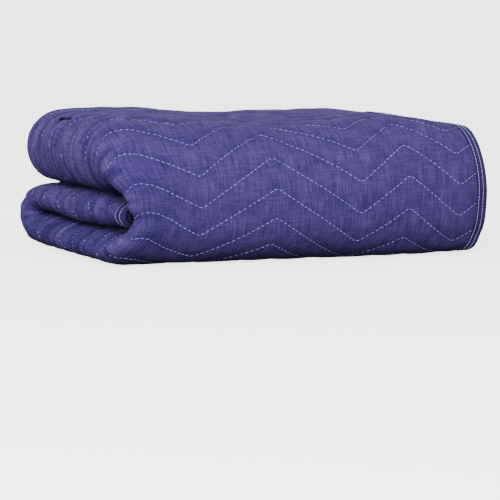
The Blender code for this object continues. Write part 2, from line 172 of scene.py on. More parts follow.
# Places along the last fold, and the share of its thickness that the folded edge keeps there.
EDGE_KEEPS = (
    (0.0, 1.04),
    (0.10, 1.12),
    (start_of("back") - 0.03, 0.94),
    (start_of("under") + 0.02, 0.98),
    (start_of("low front") - 0.08, 0.79),
    (start_of("low front"), 0.78),
    (FRONT_MIDDLE - 0.025, 0.58),
    (FRONT_MIDDLE + 0.020, 0.56),
    (FRONT_MIDDLE + 0.050, 0.62),
    (TOP_START, 1.0),
)
PINCH_REACH = 0.06
TUCK_TAPER = 0.15  # how much of the tucked end's thickness is pressed away, from above
TAPER_REACH = 0.09
TUCK_REACH = 0.019  # how much nearer the front the tucked end lies at its folded edge
TUCK_FADE = 0.15  # how far along the last fold that goes
OPEN_TAPER = 0.10  # how much thinner the layers lie at the open edges
OPEN_REACH = 0.12
PRESS_FADE = 0.02  # past the start of the low front, where the layers begin to swell

# How the pile has settled. Places across it run from 0 at the folded edges to 1 at the open edges.
RISE = 0.060  # how much looser, and so higher, the layers lie towards the open edges
RISE_RATE = 1.2
DIP = 0.0059  # a broad wave of the top
DIP_WAVES = 1.1625
DIP_START = -0.0675
CROSS_WAVE = 0.0018  # a smaller one, aslant
CROSS_TURN_X, CROSS_TURN_Y = 9, 14  # radians across the pile, and for each metre back
FOLD_DROP = 0.019  # how much lower the top lies at the folded edges
FOLD_DROP_REACH = 0.35
SHOULDER_DROP = 0.0043  # and past the middle
SHOULDER_FROM, SHOULDER_TO = 0.55, 0.75
LOFTY = 0.12  # the height from which the top's waves are whole
FRONT_WAVE = 0.0025  # a wave of the front
FRONT_WAVES = 1.3
FRONT_WAVE_START = 0.6
FRONT_LOFTY = 0.03
CURL_FROM = 0.89  # where the bound edges begin to draw back and down
CURL_BACK = 0.020
CURL_DOWN = 0.005
CURL_DEPTH = 0.12
CURL_UNDER = 0.010  # how far the lowest bound edges draw in under the pile
UNDER_HEIGHT = 0.035


def swell_at(s):
    """How much the third fold is widened, at s along the last one: only on the top."""
    return TOP_SWELL * ease((s - FRONT_MIDDLE) / (TOP_START + SWELL_PAST - FRONT_MIDDLE))


def third_run(s):
    """How far in from the open edges the third fold starts, at s along the last one."""
    return THIRD_RUN - swell_at(s)


def fold(s, n, run, radius, swell=0.0):
    """Folds a strip back on itself after a run. s is along it, and n above its middle."""
    bend = radius + swell
    turn = np.clip((s - run) / bend, 0, math.pi)
    past = np.maximum(s - run - math.pi * bend, 0)
    opened = SWELL_LEFT + (1 - SWELL_LEFT) * ease(1 - (run - s) / SWELL_REACH)
    along = np.minimum(s, run) + (bend + n) * np.sin(turn) - past
    off = (bend + n) * np.cos(turn) + swell * (2 * np.where(s < run, opened, 1) - 1)
    return along, off


def wind(s, n):
    """Lays a strip along the last fold: (y, z) of a point s along it and n outside its middle."""
    y, z, heading = TUCK_START, TUCK_LEVEL, 0.0
    place_y, place_z, reached = np.zeros(np.shape(s)), np.zeros(np.shape(s)), 0.0
    for index, (_, length, turn) in enumerate(STRETCHES):
        last = index == len(STRETCHES) - 1
        here = (s >= reached if index else np.ones(np.shape(s), bool)) & (last | (s < reached + length))
        local = s - reached
        if turn:
            radius = length / turn
            centre_y, centre_z = y + radius * math.sin(heading), z - radius * math.cos(heading)
            facing = heading - local / radius
            place_y = np.where(here, centre_y - (radius + n) * np.sin(facing), place_y)
            place_z = np.where(here, centre_z + (radius + n) * np.cos(facing), place_z)
            heading -= turn
            y, z = centre_y - radius * math.sin(heading), centre_z + radius * math.cos(heading)
        else:
            place_y = np.where(here, y + local * math.cos(heading) - n * math.sin(heading), place_y)
            place_z = np.where(here, z + local * math.sin(heading) + n * math.cos(heading), place_z)
            y, z = y + length * math.cos(heading), z + length * math.sin(heading)
        reached += length
    return place_y, place_z


def turned(s):
    """How far the last fold has turned at s, in radians."""
    total, reached = 0.0, 0.0
    for _, length, turn in STRETCHES:
        total = total + turn * np.clip((s - reached) / length, 0, 1)
        reached += length
    return total


def shape(x, s, n):
    """Shapes the eight layers before the last fold: (x, s, n), with x in from the open edges."""
    loosens = start_of("low front") + PRESS_FADE
    n = n * (PRESS + (1 - PRESS) * ease((s - loosens) / (TOP_START - loosens)))
    n = n - TUCK_TAPER * (n + HALF_LOW) * ease(1 - s / TAPER_REACH)
    n = n * (1 - OPEN_TAPER * ease(1 - x / OPEN_REACH))
    near_edge = ease(1 - (WIDE - x) / PINCH_REACH)
    keeps = 1 - (1 - along_table(EDGE_KEEPS, s)) * near_edge
    rises = ease((s - start_of("low front")) / (FRONT_MIDDLE - start_of("low front")))
    outside = HALF_LOW + (FRONT_HALF - HALF_LOW) * rises
    n = outside - (outside - n) * keeps
    x = x - along_table(EDGE_IN, s) * ease(1 - (WIDE - x) / EDGE_REACH)
    s = s - TUCK_REACH * near_edge * ease(1 - s / TUCK_FADE)
    return x, s, n


def settle(x, y, z):
    """The pile's own weight and handling: broad dips and swells, none where it touches the floor."""
    across = (x + WIDE / 2) / WIDE
    lift, front_lift = ease(z / LOFTY), ease(z / FRONT_LOFTY)
    z = z * (1 + RISE * ease(RISE_RATE * across))
    z = z + lift * DIP * np.cos(2 * math.pi * (across - DIP_START) * DIP_WAVES)
    z = z + lift * CROSS_WAVE * np.sin(CROSS_TURN_X * across + CROSS_TURN_Y * y)
    z = z - lift * FOLD_DROP * (1 - ease(across / FOLD_DROP_REACH))
    z = z - lift * SHOULDER_DROP * ease((across - SHOULDER_FROM) / (SHOULDER_TO - SHOULDER_FROM))
    y = y + front_lift * FRONT_WAVE * np.sin(2 * math.pi * across * FRONT_WAVES + FRONT_WAVE_START)
    curl = np.maximum((across - CURL_FROM) / (1 - CURL_FROM), 0) ** 2
    y = y + front_lift * CURL_BACK * curl * ease(1 - y / CURL_DEPTH)
    x = x - CURL_UNDER * curl * ease(1 - z / UNDER_HEIGHT)
    z = z - CURL_DOWN * curl * lift * ease(1 - y / CURL_DEPTH)
    return x, y, z


def lay(u, v, n):
    """The place in the pile of a point of the flat blanket, in the row frame."""
    a, n = fold(u, n, FIRST_RUN, FIRST_RADIUS)
    b, n = fold(v, n, SECOND_RUN, SECOND_RADIUS)
    x, n = fold(a, n, third_run(b), THIRD_RADIUS, swell_at(b))
    x, b, n = shape(x, b, n)
    y, z = wind(b, n)
    x, y, z = settle(WIDE / 2 - x, y, z)
    return np.stack([x, y - DEPTH / 2, z], axis=-1) - FOOT


# How far along the outside each place across the width is. The outside is longer than the middle.
OUTER_TABLE_PAST = 0.3  # past the second fold
OUTER_TABLE_V = np.linspace(0, SECOND_RUN + math.pi * SECOND_RADIUS + OUTER_TABLE_PAST, 1600)
BULB_STRETCH = 0.9  # how much longer the outside is round the second fold
OUTER_TABLE = (
    OUTER_TABLE_V
    + HALF_LOW * turned(np.minimum(OUTER_TABLE_V, SECOND_RUN))
    + BULB_STRETCH * np.clip(OUTER_TABLE_V - SECOND_RUN, 0, math.pi * SECOND_RADIUS)
)
ROW_ORIGIN = np.interp(FRONT_MIDDLE, OUTER_TABLE_V, OUTER_TABLE) + ROW_LEVEL - FRONT_LEVEL


def row_height(u):
    """How far a quilting row lies above its level, with its corners a little rounded."""
    places, heights = zip(*ROW_CORNERS)
    steps = np.linspace(-ROW_ROUNDING, ROW_ROUNDING, 5)
    return sum(np.interp(u + step, places, heights) for step in steps) / len(steps)


def row_phase(u, v):
    """Which quilting row a point is on. Whole numbers are rows."""
    return (np.interp(v, OUTER_TABLE_V, OUTER_TABLE) - ROW_ORIGIN - row_height(u)) / ROW_SPACING


def row_place(number, u):
    """v of a quilting row at u."""
    return np.interp(ROW_ORIGIN + number * ROW_SPACING + row_height(u), OUTER_TABLE, OUTER_TABLE_V)


LATTICE = 256


def noise(x, y, seed):
    """Smooth noise from -1 to 1, one lump per unit, repeating after LATTICE units."""
    lattice = np.random.RandomState(seed).uniform(-1, 1, (LATTICE + 1, LATTICE + 1))
    i, j = np.floor(x).astype(int), np.floor(y).astype(int)
    fx, fy = ease(x - i), ease(y - j)
    i0, j0, i1, j1 = i % LATTICE, j % LATTICE, (i + 1) % LATTICE, (j + 1) % LATTICE
    low = lattice[i0, j0] * (1 - fx) + lattice[i1, j0] * fx
    high = lattice[i0, j1] * (1 - fx) + lattice[i1, j1] * fx
    return low * (1 - fy) + high * fy


def lumps(x, y, pattern):
    """Noise in one of the patterns below."""
    wide, high, seed = pattern
    return noise(x / wide, y / high, seed)


def ridge(x, middle, width):
    """A rounded ridge: 1 at its middle, and almost 0 two widths away."""
    return np.exp(-(((x - middle) / width) ** 2))


# Patterns of noise: the size of a lump each way, in metres, and a seed.
BROAD_RIPPLES = (0.0090, 0.050, 23)
FINE_RIPPLES = (0.0046, 0.042, 29)
BROAD_WRINKLES = (0.030, 0.012, 61)
FINE_WRINKLES = (0.018, 0.0075, 67)
LOOSE_LUMPS = (0.030, 0.024, 11)
NOSE_PUFFS = (0.022, 0.016, 13)
THREAD_PULLS = (0.004, 0.004, 71)
TAPE_WEAVE = (0.0035, 0.004, 47)

# Quilting relief, in metres. The front is pulled smooth, and the top is slack.
GROOVE_DEPTH = 0.0026
GROOVE_REACH = 0.0060
GROOVE_SHARE = 0.6  # of the depth, in the groove beside a row. The rest spreads from row to row.
SMOOTH_SHARE = 0.42  # of the relief, on the front
BACK_SHARE = 0.35  # of the relief, where the top turns down at the back
BACK_FROM, BACK_LENGTH = 0.07, 0.05  # before the second fold, and over what length
PUCKER = 0.0006  # small creases that cross a row
PUCKER_LENGTH = 0.0065
PUCKER_REACH = 0.010
PUCKER_STRIDE, PUCKER_LINE, PUCKER_SEED = 3.7, 40.0, 5  # each row has its own line of the noise
TOP_WRINKLE = 0.0007
FINE_WRINKLE_SHARE = 0.7
LUMP = 0.0004

# Where the front and the top begin and end along the last fold, and over what length.
FRONT_LEAD, FRONT_LEAD_LENGTH = 0.02, 0.04  # before the low front
FRONT_TAIL, FRONT_TAIL_LENGTH = 0.012, 0.05  # before the top
TOP_LEAD, TOP_LEAD_LENGTH = 0.01, 0.03  # before the top

# The folded edge at the left, where ripples take over from the rows.
NOSE_FROM, NOSE_FROM_LENGTH = 0.497, 0.018  # in from the open edge, where it begins
NOSE_PAST, NOSE_PAST_LENGTH = 0.12, 0.05  # past the start of the third fold, where it ends
NOSE_SHARE = 0.42  # of the relief of the rows
NOSE_RIPPLE = 0.0016
BROAD_RIPPLE_SHARE = 0.45
NOSE_PUFF = 0.0005
CREASE = 0.0014  # a ridge up the front, where the folded edge begins
CREASE_U, CREASE_WIDTH = NOSE_FROM + 0.006, 0.0045
FULL = 0.0020  # how much fuller the top is beside the folded edge
FULL_U, FULL_WIDTH, FULL_LENGTH = 0.455, 0.06, 0.04
LOWEST_LEAD, LOWEST_TAIL = 0.1, 0.05  # over what lengths the lowest fold begins and ends

# A small pinched pleat in the top.
PLEAT_U, PLEAT_FROM, PLEAT_TO = 0.4937, 0.791, 0.833
PLEAT_SLANT = 0.01
PLEAT_DEPTH = 0.0042
PLEAT_WIDTH = 0.0014
PLEAT_END = 0.006

# How much flatter the quilt lies beside the open edge, on the top.
BOUND_DROP = 0.0016
BOUND_REACH = 0.075

# Painted light and shade in the cloth's colour, in shares of its range of colour.
# Painted light on crests and between rows, and painted shade in hollows and grooves.
RIPPLE_PAINTED_LIGHT_SHADE = 0.19
WRINKLE_PAINTED_LIGHT_SHADE = 0.12
GROOVE_PAINTED_LIGHT_SHADE = 0.10
EVEN_DRAWN = 0.35  # the share of a groove at which its painted light and shade neither pale nor darken the cloth
# Painted shade where a folded edge turns in against the next one.
PAINTED_UNDER_SHADE = 0.56
UNDER_FROM, UNDER_LATER, UNDER_LENGTH = 2.42, 0.35, 0.50  # radians round the folded edge
# Painted shade on the lowest fold, under the pile's upper folds.
PAINTED_LOWEST_SHADE = 0.09
# Painted shade at the front corner beside the folded edge.
PAINTED_CORNER_SHADE = 0.06
CORNER_U, CORNER_WIDTH = 0.485, 0.03
# Near-black painted shade in the pinched pleat, where no light reaches.
PAINTED_PLEAT_SHADE = 3.0


def swollen(u, v):
    """1 in the quilt, falling to 0 inside the binding."""
    inset = np.minimum(np.minimum(u, LENGTH - u), np.minimum(v, WIDTH - v))
    return ease((inset - TAPE_WIDTH) / (PRESSED_END - TAPE_WIDTH))


def nose(u):
    """1 round the folded edge, where the outermost layer turns, and 0 on the flats."""
    return ease((u - NOSE_FROM) / NOSE_FROM_LENGTH) * ease((THIRD_RUN + NOSE_PAST - u) / NOSE_PAST_LENGTH)


def on_front(v):
    """1 on the upright front, and 0 on the top, under the pile and on the tucked end."""
    begins = ease((v - start_of("low front") + FRONT_LEAD) / FRONT_LEAD_LENGTH)
    return begins * ease((TOP_START - FRONT_TAIL - v) / FRONT_TAIL_LENGTH)


def on_top(u, v):
    """1 on the flat of the top, and 0 elsewhere."""
    return ease((v - TOP_START + TOP_LEAD) / TOP_LEAD_LENGTH) * (1 - nose(u))


def pleat(u, v):
    """1 along the middle of the pinched pleat, and 0 away from it."""
    along = ease((v - PLEAT_FROM) / PLEAT_END) * ease((PLEAT_TO - v) / PLEAT_END)
    middle = PLEAT_U + PLEAT_SLANT * (v - (PLEAT_FROM + PLEAT_TO) / 2)
    return ridge(u, middle, PLEAT_WIDTH) * along


def lowest_fold(u, v):
    """1 round the folded edge of the lowest layers, and 0 elsewhere."""
    return nose(u) * ease((v - start_of("back")) / LOWEST_LEAD) * ease((FRONT_MIDDLE - v) / LOWEST_TAIL)


def turned_under(u, v):
    """1 where a folded edge turns in against the next one, and 0 outside: the mask of the painted shade
    there.
    """
    angle = (u - third_run(v)) / (THIRD_RADIUS + swell_at(v))
    return ease((angle - UNDER_FROM - UNDER_LATER * lowest_fold(u, v)) / UNDER_LENGTH)


def slackness(u, v):
    """How much of the rows' relief shows: less on the front, round the folded edge and at the back."""
    front = on_front(v) * (1 - nose(u))
    back = ease((v - SECOND_RUN + BACK_FROM) / BACK_LENGTH)
    end = (1 - (1 - SMOOTH_SHARE) * front) * (1 - (1 - NOSE_SHARE) * nose(u))
    return end * (1 - (1 - BACK_SHARE) * back)


def folds(u, v):
    """Ripples round the folded edge and wrinkles on the top, each about -1 to 1."""
    ripples = BROAD_RIPPLE_SHARE * lumps(v, u, BROAD_RIPPLES) + lumps(v, u, FINE_RIPPLES)
    wrinkles = lumps(u, v, BROAD_WRINKLES) + FINE_WRINKLE_SHARE * lumps(u, v, FINE_WRINKLES)
    return nose(u) * ripples, on_top(u, v) * slackness(u, v) * wrinkles


def drawn_in(u, v):
    """How far each place is drawn in by the rows, from 0 to 1, how far it is from one, and its phase."""
    phase = row_phase(u, v)
    off_row = phase - np.round(phase)
    away = np.abs(off_row) * ROW_SPACING
    spread = np.cos(math.pi * off_row) ** 2
    return GROOVE_SHARE * ridge(away, 0, GROOVE_REACH) + (1 - GROOVE_SHARE) * spread, away, phase


def relief(u, v):
    """How far the outer face stands off its level: rows drawn in, and puckers and wrinkles between."""
    drawn, away, phase = drawn_in(u, v)
    slack = slackness(u, v)
    ripples, wrinkles = folds(u, v)
    line = PUCKER_STRIDE * np.round(phase) + PUCKER_LINE
    pucker = PUCKER * slack * noise(u / PUCKER_LENGTH, line, PUCKER_SEED) * np.exp(-away / PUCKER_REACH)
    loose = LUMP * slack * lumps(u, v, LOOSE_LUMPS) + NOSE_PUFF * nose(u) * lumps(u, v, NOSE_PUFFS)
    crease = CREASE * ridge(u, CREASE_U, CREASE_WIDTH) * on_front(v)
    full = FULL * ridge(u, FULL_U, FULL_WIDTH) * ease((v - TOP_START + TOP_LEAD) / FULL_LENGTH)
    flatter = BOUND_DROP * ease((BOUND_REACH - u) / (BOUND_REACH - TAPE_WIDTH)) * on_top(u, v)
    raised = pucker + NOSE_RIPPLE * ripples + TOP_WRINKLE * wrinkles + loose + crease + full - flatter
    return swollen(u, v) * (raised - GROOVE_DEPTH * slack * drawn) - PLEAT_DEPTH * pleat(u, v)


def painted_shading(u, v):
    """Painted light and shade in the cloth's colour: paler on crests, darker in hollows, in against the next
    fold, under the upper folds, at the front corner and in the pleat.
    """
    drawn, _, _ = drawn_in(u, v)
    ripples, wrinkles = folds(u, v)
    slack = slackness(u, v)
    # Painted light on the crests of ripples, wrinkles and between rows, painted shade in their hollows and
    # grooves.
    crest_light_hollow_shade = RIPPLE_PAINTED_LIGHT_SHADE * ripples + WRINKLE_PAINTED_LIGHT_SHADE * wrinkles - GROOVE_PAINTED_LIGHT_SHADE * slack * (drawn - EVEN_DRAWN)
    # Painted shade in against the next fold, under the upper folds and at the front corner, and near-black
    # painted shade in the pleat.
    corner = ridge(u, CORNER_U, CORNER_WIDTH) * on_front(v)
    painted_shade = PAINTED_UNDER_SHADE * turned_under(u, v) + PAINTED_LOWEST_SHADE * lowest_fold(u, v) + PAINTED_CORNER_SHADE * corner
    return crest_light_hollow_shade - painted_shade - PAINTED_PLEAT_SHADE * pleat(u, v)


def half_loft(u, v):
    """Half the quilt's thickness: less inside the binding."""
    return PRESSED_LOFT / 2 + (HALF_SHEET - PRESSED_LOFT / 2) * swollen(u, v)


def outer_face(u, v, above=0.0):
    """A point on the quilt's outer face, or a little above it."""
    return lay(u, v, half_loft(u, v) + relief(u, v) + above)


def spaced(*stretches):
    """Stations from (end, spacing) pairs, starting at 0."""
    places = [0.0]
    for end, spacing in stretches:
        steps = max(1, round((end - places[-1]) / spacing))
        places += list(places[-1] + (end - places[-1]) * np.arange(1, steps + 1) / steps)
    return np.array(places)


BENDS_END = THIRD_RUN + math.pi * (THIRD_RADIUS + TOP_SWELL)
FIRST_END = FIRST_RUN + math.pi * FIRST_RADIUS
SECOND_END = SECOND_RUN + math.pi * SECOND_RADIUS

# Mesh stations. They crowd round the pleat, the folded edges and the bends that show.
FINE_U = spaced(
    (TAPE_WIDTH, 0.0055), (0.480, 0.0054), (0.490, 0.0016), (0.4975, 0.0007), (0.508, 0.0016),
    (BENDS_END + 0.02, 0.0052), (FIRST_RUN, 0.022), (FIRST_END, 0.0016), (LENGTH - BENDS_END, 0.030),
    (LENGTH - THIRD_RUN + TOP_SWELL, 0.008), (LENGTH - TAPE_WIDTH, 0.045), (LENGTH, 0.011),
)
FINE_V = spaced(
    (TAPE_WIDTH, 0.0055), (start_of("low front"), 0.0038), (SECOND_RUN, 0.0021), (SECOND_END, 0.0026),
    (SECOND_END + 0.06, 0.012), (WIDTH - TOP_START, 0.030), (WIDTH - start_of("low front"), 0.010),
    (WIDTH - start_of("under"), 0.030), (WIDTH - start_of("back"), 0.008), (WIDTH - TAPE_WIDTH, 0.030),
    (WIDTH, 0.011),
)
COARSE_U = spaced(
    (TAPE_WIDTH, 0.011), (PRESSED_END, 0.004), (THIRD_RUN - TOP_SWELL, 0.026), (BENDS_END, 0.005),
    (FIRST_RUN, 0.026), (FIRST_END, 0.0018), (LENGTH - BENDS_END, 0.026),
    (LENGTH - THIRD_RUN + TOP_SWELL, 0.005), (LENGTH - PRESSED_END, 0.026), (LENGTH - TAPE_WIDTH, 0.004),
    (LENGTH, 0.011),
)
COARSE_V = spaced(
    (TAPE_WIDTH, 0.011), (PRESSED_END, 0.004), (start_of("back"), 0.026), (start_of("under"), 0.005),
    (start_of("low front"), 0.026), (TOP_START, 0.006), (SECOND_RUN, 0.026), (SECOND_END, 0.0030),
    (WIDTH - TOP_START, 0.026), (WIDTH - start_of("low front"), 0.006), (WIDTH - start_of("under"), 0.026),
    (WIDTH - start_of("back"), 0.005), (WIDTH - PRESSED_END, 0.026), (WIDTH - TAPE_WIDTH, 0.004),
    (WIDTH, 0.011),
)


def grid_quads(index):
    """The four-sided faces of a block of mesh points."""
    a, b, c, d = index[:-1, :-1], index[1:, :-1], index[1:, 1:], index[:-1, 1:]
    return np.stack([a.ravel(), d.ravel(), c.ravel(), b.ravel()], axis=1).tolist()


def zip_lines(first, second):
    """Triangles between two lines of mesh points, each a list of (place, index) in rising order."""
    i, j, faces = 0, 0, []
    while i < len(first) - 1 or j < len(second) - 1:
        take_first = j == len(second) - 1 or (i < len(first) - 1 and first[i + 1][0] <= second[j + 1][0])
        if take_first:
            faces.append((first[i][1], second[j][1], first[i + 1][1]))
            i += 1
        else:
            faces.append((first[i][1], second[j][1], second[j + 1][1]))
            j += 1
    return faces


def border(u, v, index, side):
    """One side of a block of mesh points as (place, index) pairs, in the order of a turn round it."""
    picks = {"low": np.s_[:, 0], "right": np.s_[-1, :], "high": np.s_[::-1, -1], "left": np.s_[0, ::-1]}
    places = {"low": u, "right": v, "high": -u, "left": -v}[side][picks[side]]
    return list(zip(places, index[picks[side]]))


def add_piece(name, points, faces, uv, material, slot, painted_shadings=None):
    """Adds a smooth-shaded mesh that rides on the pile. uv holds (u, v) in metres for each point."""
    mesh = bpy.data.meshes.new(name)
    mesh.from_pydata(points.tolist(), [], faces)
    mesh.update()
    corners = np.empty(len(mesh.loops), np.int32)
    mesh.loops.foreach_get("vertex_index", corners)
    layer = mesh.uv_layers.new(name="flat")
    layer.data.foreach_set("uv", np.asarray(uv, np.float32)[corners].ravel())
    mesh.polygons.foreach_set("use_smooth", np.ones(len(mesh.polygons), bool))
    mesh.materials.append(material)
    piece = bpy.data.objects.new(name, mesh)
    bpy.context.scene.collection.objects.link(piece)
    # The painted light and shade, kept on the mesh for the cloth's colour.
    if painted_shadings is not None:
        mesh.attributes.new("painted_shading", "FLOAT", "POINT").data.foreach_set("value", painted_shadings.astype(np.float32))
    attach(piece, "root")
    return piece


def make_quilt(material):
    """The quilted sheet: a fine outer face, a plainer inner one, and the edge between them."""
    u, v = np.meshgrid(FINE_U, FINE_V, indexing="ij")
    inner_u, inner_v = np.meshgrid(COARSE_U, COARSE_V, indexing="ij")
    points = np.concatenate([
        outer_face(u, v).reshape(-1, 3),
        lay(inner_u, inner_v, -half_loft(inner_u, inner_v)).reshape(-1, 3),
    ])
    over = np.arange(u.size).reshape(u.shape)
    under = np.arange(inner_u.size).reshape(inner_u.shape) + u.size
    faces = grid_quads(over) + [face[::-1] for face in grid_quads(under)]
    for side in ("low", "right", "high", "left"):
        faces += zip_lines(border(inner_u, inner_v, under, side), border(u, v, over, side))
    flat = np.concatenate([np.stack(sides, -1).reshape(-1, 2) for sides in ((u, v), (inner_u, inner_v))])
    # Painted light and shade on the outer face, none on the inner.
    painted_shadings = np.concatenate([painted_shading(u, v).ravel(), np.zeros(inner_u.size)])
    return add_piece("quilted_cloth", points, faces, flat, material, "quilt", painted_shadings)


# Thread.
STITCH_PITCH = 0.0068
STITCH_LENGTH = 0.0053
STITCH_WANDER = 0.0006  # how unevenly the stitches are spaced
WANDER_LENGTH, WANDER_LINE, WANDER_SEED = 0.02, 333.0, 31
THREAD_RADIUS = 0.00033
THREAD_FLATNESS = 0.75
STITCH_RINGS = (0.0, 0.10, 0.35, 0.65, 0.90, 1.0)
STITCH_SWELLS = (0.25, 0.75, 1.0, 1.0, 0.75, 0.25)
STITCH_SIDES = 5
ROW_STEPS = 900
THREAD_PROUD = 0.00009
NOSE_SINK, NOSE_SINK_SPREAD = 0.00041, 0.0003  # how much deeper it lies round the folded edge
TOP_SINK = 0.00016  # and on the top, away from the open edge
TOP_SINK_FROM, TOP_SINK_LENGTH = 0.15, 0.2
ABOVE_STEP = 0.0008  # how far above the cloth a point is taken to find which way is up from it


def walked_along(points):
    """The length walked along a line of points, at each of them."""
    steps = np.linalg.norm(np.diff(points, axis=0), axis=1)
    return np.concatenate([[0], np.cumsum(steps)])


def row_stitches(number, low, high):
    """The stitches of a row between two places along the sheet: (u, v) arrays, a stitch to a line.
    They are spaced on the folded cloth, a little unevenly."""
    u = low + (high - low) * np.linspace(0, 1, ROW_STEPS)
    walked = walked_along(outer_face(u, row_place(number, u)))
    starts = np.arange(0.5 * (STITCH_PITCH - STITCH_LENGTH), walked[-1] - STITCH_LENGTH, STITCH_PITCH)
    line = np.full_like(starts, WANDER_LINE)
    starts = starts + STITCH_WANDER * noise(starts / WANDER_LENGTH, line, WANDER_SEED)
    rings = starts[:, None] + STITCH_LENGTH * np.array(STITCH_RINGS)[None, :]
    u = np.interp(rings, walked, u)
    return u, row_place(number, u)


def thread_sink(u, v):
    """How deep the quilting thread lies in the cloth."""
    round_nose = nose(u) * (NOSE_SINK + NOSE_SINK_SPREAD * lumps(u, v, THREAD_PULLS))
    along_top = TOP_SINK * on_top(u, v) * ease((u - TOP_SINK_FROM) / TOP_SINK_LENGTH)
    return round_nose - THREAD_PROUD + along_top


def stitch_mesh(rings_u, rings_v, sink, radius, face_at):
    """A small rounded capsule for each stitch, lying in the cloth."""
    middle = face_at(rings_u, rings_v, -sink)
    above = face_at(rings_u, rings_v, ABOVE_STEP - sink) - middle
    above /= np.linalg.norm(above, axis=-1, keepdims=True)
    ahead = np.gradient(middle, axis=1)
    ahead /= np.maximum(np.linalg.norm(ahead, axis=-1, keepdims=True), 1e-9)
    beside = np.cross(ahead, above)
    angle = np.arange(STITCH_SIDES) * 2 * math.pi / STITCH_SIDES
    swell = radius * np.array(STITCH_SWELLS)[None, :, None, None]
    dip = (1 - np.array(STITCH_SWELLS))[None, :, None] * radius * above
    upward = np.cos(angle)[:, None] * above[:, :, None, :] * THREAD_FLATNESS
    sideways = np.sin(angle)[:, None] * beside[:, :, None, :]
    points = (middle - dip)[:, :, None, :] + swell * (upward + sideways)
    stitches, rings = rings_u.shape
    index = np.arange(stitches * rings * STITCH_SIDES).reshape(stitches, rings, STITCH_SIDES)
    turned_on = np.roll(index, -1, axis=2)
    a, b, c, d = index[:, :-1], turned_on[:, :-1], turned_on[:, 1:], index[:, 1:]
    faces = np.stack([a.ravel(), b.ravel(), c.ravel(), d.ravel()], axis=1).tolist()
    faces += index[:, 0, ::-1].tolist() + index[:, -1].tolist()
    flat = np.repeat(np.stack([rings_u, rings_v], -1)[:, :, None, :], STITCH_SIDES, axis=2)
    return points.reshape(-1, 3), faces, flat.reshape(-1, 2)


def join_meshes(parts):
    """Several (points, faces, uv) as one."""
    points, faces, flat, offset = [], [], [], 0
    for part_points, part_faces, part_flat in parts:
        points.append(part_points)
        flat.append(part_flat)
        faces += [tuple(i + offset for i in face) for face in part_faces]
        offset += len(part_points)
    return np.concatenate(points), faces, np.concatenate(flat)


# How far the rows are sewn, across the sheet and along it.
ROWS_FROM, ROWS_TO = 0.030, SECOND_END
STITCHED_FROM, STITCHED_TO = TAPE_WIDTH + 0.001, BENDS_END + 0.03
SEARCH_STEPS = 700
SHORTEST_RUN = 12  # in search steps


def quilting_runs():
    """Each unbroken run of a row on the outer layer: its number, and where along the sheet it lies."""
    first = math.ceil((np.interp(ROWS_FROM, OUTER_TABLE_V, OUTER_TABLE) - ROW_ORIGIN) / ROW_SPACING) - 1
    last = math.floor((np.interp(ROWS_TO, OUTER_TABLE_V, OUTER_TABLE) - ROW_ORIGIN) / ROW_SPACING) + 1
    u = np.linspace(STITCHED_FROM, STITCHED_TO, SEARCH_STEPS)
    for number in range(first, last + 1):
        v = row_place(number, u)
        inside = (v > ROWS_FROM) & (v < ROWS_TO)
        for run in np.split(np.arange(len(u)), np.flatnonzero(np.diff(inside.astype(int))) + 1):
            if inside[run[0]] and len(run) > SHORTEST_RUN:
                yield number, u[run[0]], u[run[-1]]


def make_quilting(material):
    """Every quilting stitch that can be seen, in the grooves."""
    rows = [row_stitches(*run) for run in quilting_runs()]
    parts = [stitch_mesh(u, v, thread_sink(u, v), THREAD_RADIUS, outer_face) for u, v in rows if len(u)]
    return add_piece("quilting_thread", *join_meshes(parts), material, "quilt")


# Binding: a tape folded over each edge, with two rows of stitching.
TAPE_ROWS = (0.0095, 0.0185)
EDGE_PITCH = 0.0042
EDGE_STITCH_SHARE = 0.97  # of the pitch
EDGE_FIRST = 0.001
EDGE_STEPS = 1500
EDGE_THREAD_RADIUS = 0.00042
EDGE_THREAD_SINK = 0.0001
EDGE_STITCH_DEPTH = 0.0003  # how far the stitches draw the tape in
EDGE_STITCH_REACH = 0.0012
EDGE_WAVE = 0.0003  # how far they stray from a straight line
EDGE_WAVE_LENGTH, EDGE_WAVE_STRIDE, EDGE_WAVE_SEED = 0.02, 90, 83  # each row has its own line
TAPE_TOP = PRESSED_LOFT / 2 + TAPE_CLEARANCE + TAPE_THICKNESS
TAPE_ROUGH = 0.00007
TAPE_PAST = TAPE_CLEARANCE + TAPE_THICKNESS  # how far a tape reaches past the quilt's edge
TAPE_SHORT = TAPE_WIDTH + 0.0004  # where the tapes along the length end, beside the other two

# Edge, place on the sheet of (in from the edge, along it), start, end, mesh spacing, and whether the
# faces have to be turned to point out.
TAPES = (
    ("length_outer", lambda d, a: (d, a), -TAPE_PAST, WIDTH + TAPE_PAST, 0.0035, True),
    ("length_inner", lambda d, a: (LENGTH - d, a), -TAPE_PAST, WIDTH + TAPE_PAST, 0.006, False),
    ("width_outer", lambda d, a: (a, d), TAPE_SHORT, LENGTH - TAPE_SHORT, 0.0045, False),
    ("width_inner", lambda d, a: (a, WIDTH - d), TAPE_SHORT, LENGTH - TAPE_SHORT, 0.006, True),
)
# Where a tape's stitching can be seen: its line in TAPES, start and end.
SEWN = ((0, 0.0, SECOND_END + 0.03), (2, 0.03, 1.0))


